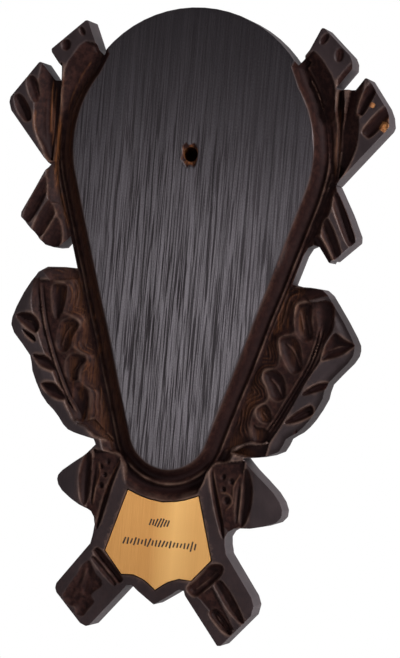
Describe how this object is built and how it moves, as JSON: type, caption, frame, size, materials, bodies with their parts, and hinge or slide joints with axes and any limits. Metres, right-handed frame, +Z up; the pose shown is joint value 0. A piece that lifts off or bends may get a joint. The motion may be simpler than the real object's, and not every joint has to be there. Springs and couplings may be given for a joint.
{
  "type": "antler mounting plaque",
  "caption": "Dark carved oak wall plaque with a flat teardrop field, leaf and branch-stump carving and a brass engraving plate, for mounting antlers.",
  "frame": {"origin": "on the flat back face, on the board's centreline, at the centre of its round head, where it lies on the wall", "axes": "+Z up along the board, -Y out of the carved front towards the viewer, +Y into the wall, +X to the right seen from the front"},
  "size_m": [0.1844, 0.02, 0.2999],
  "materials": {
    "stained_oak": "near-black brown stain, satin, worn along carved edges",
    "brass_plate": "satin brushed"
  },
  "bodies": {
    "root": {"carved_oak_board": "stained_oak", "engraving_plate": "brass_plate"}
  },
  "joints": []
}
